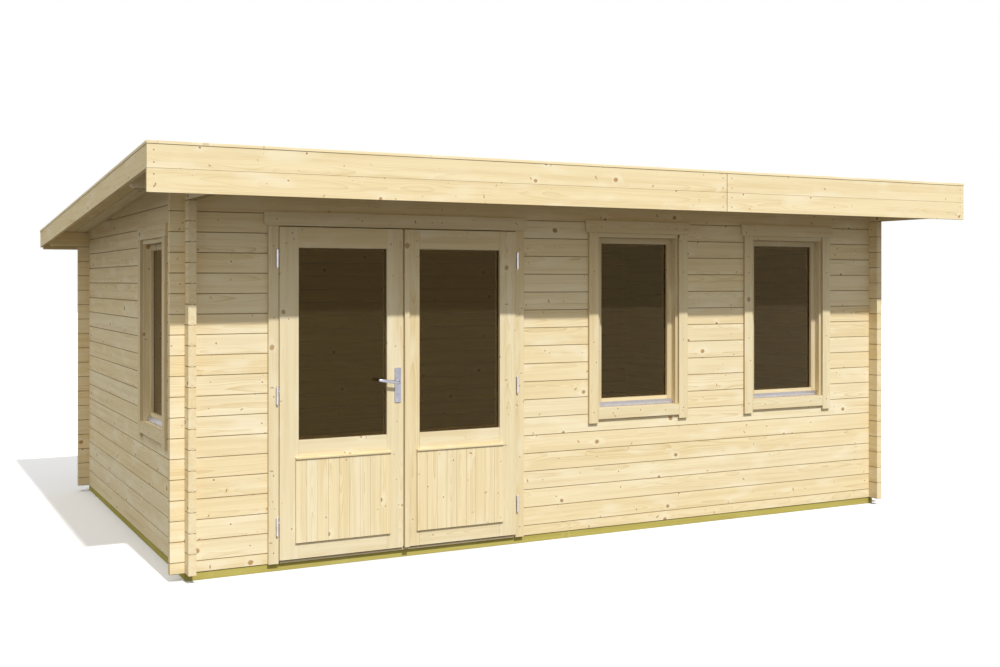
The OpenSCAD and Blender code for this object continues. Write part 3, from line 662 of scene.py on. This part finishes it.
# Turned and swept metal


def turned(bm, base, axis, profile, sides=20):
    """A solid of revolution: profile is (distance along the axis, radius) from base."""
    axis = Vector(axis).normalized()
    side = axis.orthogonal().normalized()
    over = axis.cross(side)
    rings = []
    for along, radius in profile:
        spot = Vector(base) + axis * along
        rings.append([
            bm.verts.new(spot + (side * math.cos(a) + over * math.sin(a)) * radius)
            for a in (2 * math.pi * j / sides for j in range(sides))
        ])
    close_rings(bm, rings)


def swept(bm, stations, up, sides=20):
    """A bar through stations of centre, half width and half height."""
    rings = []
    for i, (spot, wide, high) in enumerate(stations):
        ahead = stations[min(i + 1, len(stations) - 1)][0] - stations[max(i - 1, 0)][0]
        side = ahead.cross(up).normalized()
        over = side.cross(ahead).normalized()
        rings.append([
            bm.verts.new(spot + side * wide * math.cos(a) + over * high * math.sin(a))
            for a in (2 * math.pi * j / sides for j in range(sides))
        ])
    close_rings(bm, rings)


def close_rings(bm, rings):
    """Faces between rings of points, and over the two ends."""
    for a, b in zip(rings, rings[1:]):
        for j in range(len(a)):
            bm.faces.new((a[j - 1], a[j], b[j], b[j - 1]))
    bm.faces.new(rings[0])
    bm.faces.new(rings[-1])


UP, DOWN, FORWARD = Vector((0, 0, 1)), Vector((0, 0, -1)), Vector((0, -1, 0))

# Hinges: turned caps, and a collar at the split of each barrel
HINGE_X, HINGE_Y, HINGE_HEIGHT, HINGE_GAP = 0.7785, -0.027, 0.092, 0.0005
HINGE_SHARES = (0.102, 0.495, 0.905)
CAP = (
    (-0.001, 0.0060), (0.0, 0.0070), (0.0018, 0.0074), (0.0030, 0.0070), (0.0036, 0.0052),
    (0.0052, 0.0056), (0.0078, 0.0046), (0.0092, 0.0026), (0.0096, 0.0008),
)
COLLAR = (-0.0030, 0.0066), (-0.0026, 0.0077), (-0.0006, 0.0079), (-0.0002, 0.0066)
caps = {"cabin": bmesh.new(), "left_door": bmesh.new(), "right_door": bmesh.new()}
for body, hand in DOORS.items():
    for share in HINGE_SHARES:
        foot = LEAF_LOW + (LEAF_HIGH - LEAF_LOW) * share - HINGE_HEIGHT / 2
        spot = place(DOOR_X - hand * HINGE_X, HINGE_Y, foot)
        split = spot + UP * (HINGE_HEIGHT / 2)
        turned(caps["cabin"], spot, DOWN, CAP)
        turned(caps["cabin"], split, UP, COLLAR)
        turned(caps[body], spot + UP * (HINGE_HEIGHT + HINGE_GAP), UP, CAP)
        turned(caps[body], split + UP * HINGE_GAP, DOWN, COLLAR)
plain_piece(caps["cabin"], "hinge_caps", "cabin", STEEL, smooth=True)
for body in DOORS:
    plain_piece(caps[body], body + "_hinge_caps", body, STEEL, smooth=True)

# Handle: plates with a rose, screws and a lock cylinder, and a curved lever on both faces
LEVER_X, LEVER_Z, LEVER_TILT = -0.0385, 1.055, math.radians(8.0)
PLATE_LOW, PLATE_HIGH, PLATE_HALF, PLATE_THICK = 0.93494, 1.14194, 0.020, 0.006
PLATE_CORNER, PLATE_EDGE, SCREW_INSET, LOCK_DROP = 0.006, 0.0016, 0.012, 0.072
ROSE = (0.0, 0.0150), (0.0015, 0.0150), (0.0028, 0.0138), (0.0034, 0.0118), (0.0034, 0.0100)
SCREW = (-0.0005, 0.0040), (0.0004, 0.0038), (0.0011, 0.0028), (0.0013, 0.0010)
LOCK = (-0.0005, 0.0085), (0.0020, 0.0085), (0.0026, 0.0078), (0.0026, 0.0030)

# Corners from the lock's centre, outwards in the second place
LOCK_FOOT = (-0.0042, -0.0005, -0.020), (0.0042, 0.0022, -0.006)
KEYHOLE = (-0.0009, 0.0020, -0.0040), (0.0009, 0.0029, 0.0040)
ROSE_SIDES, SCREW_SIDES, LOCK_SIDES = 28, 16, 24

# The lever's path: along it, outwards from the plate, half width and half height
LEVER_PATH = (
    (0.0, 0.0002, 0.0090, 0.0090), (0.0, 0.0120, 0.0088, 0.0088), (-0.0005, 0.0200, 0.0084, 0.0086),
    (-0.0035, 0.0270, 0.0078, 0.0086), (-0.0105, 0.0310, 0.0072, 0.0088), (-0.0220, 0.0320, 0.0066, 0.0090),
    (-0.0600, 0.0320, 0.0060, 0.0094), (-0.1050, 0.0315, 0.0058, 0.0090), (-0.1260, 0.0290, 0.0056, 0.0084),
    (-0.1320, 0.0275, 0.0046, 0.0068), (-0.1352, 0.0268, 0.0026, 0.0040), (-0.1360, 0.0266, 0.0008, 0.0012),
)


def add_plate(bm, middle, face, out):
    """A long plate with round corners, its outer edge eased."""
    plate = bmesh.new()
    add_box(
        plate, place(middle - PLATE_HALF, face, PLATE_LOW), place(middle + PLATE_HALF, out, PLATE_HIGH)
    )
    corners = [e for e in plate.edges if abs((e.verts[0].co - e.verts[1].co).y) > PLATE_THICK / 2]
    bmesh.ops.bevel(plate, geom=corners, offset=PLATE_CORNER, segments=4, profile=0.5, affect="EDGES")
    outer = place(0, out, 0).y
    rim = [e for e in plate.edges if all(abs(v.co.y - outer) < MERGE for v in e.verts)]
    bmesh.ops.bevel(plate, geom=rim, offset=PLATE_EDGE, segments=3, profile=0.5, affect="EDGES")
    mesh = bpy.data.meshes.new("plate")
    plate.to_mesh(mesh)
    plate.free()
    bm.from_mesh(mesh)
    bpy.data.meshes.remove(mesh)


plates, keyholes, levers = bmesh.new(), bmesh.new(), bmesh.new()
for face, way in ((LEAF_FRONT - SEAT, -1), (LEAF_BACK + SEAT, 1)):
    out = face + way * PLATE_THICK
    middle = DOOR_X + LEVER_X
    add_plate(plates, middle, face, out)
    axis = (0, way, 0)
    turned(plates, place(middle, out, LEVER_Z), axis, ROSE, ROSE_SIDES)
    for height in (PLATE_LOW + SCREW_INSET, PLATE_HIGH - SCREW_INSET):
        turned(plates, place(middle, out, height), axis, SCREW, SCREW_SIDES)
    lock = place(middle, out, LEVER_Z - LOCK_DROP)
    turned(plates, lock, axis, LOCK, LOCK_SIDES)
    for target, corners in ((plates, LOCK_FOOT), (keyholes, KEYHOLE)):
        add_box(target, *(lock + Vector((x, way * y, z)) for x, y, z in corners))
    cosine, sine = math.cos(LEVER_TILT), math.sin(LEVER_TILT)
    swept(levers, [
        (place(middle + x * cosine, out + way * y, LEVER_Z - x * sine), wide, high)
        for x, y, wide, high in LEVER_PATH
    ], UP)
plain_piece(
    plates, "handle_plates", "left_door", HANDLE, replaces=("left_door_handle_plates",), smooth=True
)
# The keyholes are dark slabs: painted shade for their recesses
plain_piece(keyholes, "handle_keyholes", "left_door", KEYHOLE_SHADE, ROUND["keyhole"])
plain_piece(levers, "handle_levers", "lever", HANDLE, replaces=("door_lever",), smooth=True)

# Nails in the trim, the roof's edge boards and the roof, and pegs in the leaves
NAIL = (-0.0004, 0.0044), (0.0004, 0.0042), (0.0010, 0.0028), (0.0012, 0.0008)
NAIL_SIDES, ROOF_NAIL_SIDES = 10, 6
TRIM_FACE = -0.018
DOOR_SIDE_X, DOOR_SIDE_ZS = 0.798, (0.11, 0.55, 1.00, 1.45, 1.86)
DOOR_HEAD_XS, DOOR_HEAD_Z = (0.26, 0.78), 2.015
WINDOW_NAILS = (0.358, 0.010), (0.358, 0.47), (0.358, 0.93), (0.21, 0.0), (0.30, 1.225)
FASCIA_RISE, FASCIA_JOINT, FASCIA_INSET = 0.034, 3.307, 0.035
FASCIA_DROPS = (0.030, 0.092, 0.152, 0.214)
BARGE_NAILS, BARGE_START, BARGE_ENDS, BARGE_DROPS = 6, 0.09, 0.16, (0.0, 0.060)
ROOF_NAIL_LINES, ROOF_NAIL_PAIR = (0.022, 0.829, 1.658, 2.486, 3.293), (-0.022, 0.022)
PEGS = (0.040, 1.877), (0.085, 1.902)
nails = bmesh.new()


def nail(spot, axis, sides=NAIL_SIDES):
    turned(nails, spot, axis, NAIL, sides)


for hand in (-1, 1):
    for z in DOOR_SIDE_ZS:
        nail(place(DOOR_X + hand * DOOR_SIDE_X, TRIM_FACE, z), FORWARD)
    for x in DOOR_HEAD_XS:
        nail(place(DOOR_X + hand * x, TRIM_FACE, DOOR_HEAD_Z), FORWARD)
for turn in WINDOWS:
    axis = turn.to_3x3() @ FORWARD
    for hand in (-1, 1):
        for x, z in WINDOW_NAILS:
            nail(turn @ Vector((hand * x, TRIM_FACE, z)), axis)
top = soffit(ROOF_FRONT) + FASCIA_RISE
for x in (
    FASCIA_INSET - ROOF_SIDE, FASCIA_JOINT - FASCIA_INSET,
    FASCIA_JOINT + FASCIA_INSET, WALL_LENGTH + ROOF_SIDE - FASCIA_INSET,
):
    for down in FASCIA_DROPS:
        nail(place(x, ROOF_FRONT, top - down), FORWARD)
for i in range(BARGE_NAILS):
    y = ROOF_FRONT + BARGE_START + i * (ROOF_BACK - ROOF_FRONT - BARGE_ENDS) / (BARGE_NAILS - 1)
    for down in BARGE_DROPS:
        for hand, x in ((-1, -ROOF_SIDE), (1, WALL_LENGTH + ROOF_SIDE)):
            nail(place(x, y, soffit(y) - down), (hand, 0, 0))
roof_up = (0.0, ROOF_SLOPE, 1.0)
for i in range(ROOF_BOARDS):
    x = ROOF_LEFT + (i + 0.5) * (ROOF_RIGHT - ROOF_LEFT) / ROOF_BOARDS
    for y in ROOF_NAIL_LINES:
        for off in ROOF_NAIL_PAIR:
            nail(place(x + off, y, soffit(y) + ROOF_THICK), roof_up, ROOF_NAIL_SIDES)
NAILS = speckled_material(
    "nail_heads", linear(176, 154, 116), linear(150, 124, 86),
    fine=160.0, rough=(0.4, 0.7), relief=0.0003, metallic=0.3,
)
plain_piece(nails, "nails", "cabin", NAILS, smooth=True)
for body, hand in DOORS.items():
    pegs = bmesh.new()
    for x, z in PEGS:
        along = x if hand > 0 else LEAF_WIDTH - x
        spot = on_leaf(hand) @ Vector((along - HINGE_EDGE, LEAF_FRONT, z))
        turned(pegs, spot, FORWARD, NAIL, NAIL_SIDES)
    plain_piece(pegs, body + "_pegs", body, NAILS, smooth=True)


# Floor, light and camera

WHITE = (1.0, 1.0, 1.0, 1.0)
FLOOR_TONE = (0.92, 0.92, 0.92, 1.0)
FLOOR_REACH = 60.0


def seen(tree):
    """One where a ray comes from the camera, a mirror or through glass."""
    path = tree.nodes.new("ShaderNodeLightPath")
    total = path.outputs["Is Camera Ray"]
    for name in ("Is Glossy Ray", "Is Transmission Ray"):
        more = tree.nodes.new("ShaderNodeMath")
        more.operation = "MAXIMUM"
        tree.links.new(total, more.inputs[0])
        tree.links.new(path.outputs[name], more.inputs[1])
        total = more.outputs[0]
    return total


def make_world(strength):
    """White where it is seen, and a weaker light on the part."""
    world = bpy.data.worlds.new("studio")
    world.use_nodes = True
    tree = world.node_tree
    back = tree.nodes["Background"]
    back.inputs["Color"].default_value = WHITE
    share = tree.nodes.new("ShaderNodeMapRange")
    share.inputs["To Min"].default_value = strength
    share.inputs["To Max"].default_value = 1.0
    tree.links.new(seen(tree), share.inputs["Value"])
    tree.links.new(share.outputs[0], back.inputs["Strength"])
    bpy.context.scene.world = world


def make_floor(bounce):
    """Pale where it is seen, and darker where it throws light back on the part."""
    mesh = bpy.data.meshes.new("floor")
    corners = [(x * FLOOR_REACH, y * FLOOR_REACH, 0.0) for x, y in ((-1, -1), (1, -1), (1, 1), (-1, 1))]
    mesh.from_pydata(corners, [], [(0, 1, 2, 3)])
    floor = bpy.data.objects.new("floor", mesh)
    bpy.context.scene.collection.objects.link(floor)
    material = bpy.data.materials.new("pale_floor")
    material.use_nodes = True
    tree = material.node_tree
    tree.nodes.clear()
    out = tree.nodes.new("ShaderNodeOutputMaterial")
    diffuse = tree.nodes.new("ShaderNodeBsdfDiffuse")
    pick = tree.nodes.new("ShaderNodeMix")
    pick.data_type = "RGBA"
    pick.inputs[6].default_value = (bounce, bounce, bounce, 1.0)
    pick.inputs[7].default_value = FLOOR_TONE
    tree.links.new(seen(tree), pick.inputs[0])
    tree.links.new(pick.outputs[2], diffuse.inputs["Color"])
    tree.links.new(diffuse.outputs[0], out.inputs["Surface"])
    mesh.materials.append(material)


def make_sun(name, strength, spread, way):
    """A distant lamp that shines one way; spread is its width in degrees."""
    lamp = bpy.data.lights.new(name, "SUN")
    lamp.energy = strength
    lamp.angle = math.radians(spread)
    sun = bpy.data.objects.new(name, lamp)
    sun.rotation_euler = Vector(way).to_track_quat("-Z", "Y").to_euler()
    bpy.context.scene.collection.objects.link(sun)


def make_camera():
    lens = bpy.data.cameras.new("camera")
    lens.lens = 43.27
    lens.sensor_width = 36.0
    lens.shift_y = -0.0515
    camera = bpy.data.objects.new("camera", lens)
    camera.location = (-4.0968, -8.2333, 1.6543)
    camera.rotation_euler = (math.radians(90.0), 0.0, math.radians(-27.647))
    bpy.context.scene.collection.objects.link(camera)
    bpy.context.scene.camera = camera


make_world(strength=0.68)
make_floor(bounce=0.11)
make_sun("sun", strength=3.02, spread=1.2, way=(-0.02, 1.0, -1.222))
make_sun("fill", strength=0.75, spread=36.0, way=(1.0, 0.1, -2.5))
make_camera()
bpy.context.scene.view_settings.view_transform = "Standard"
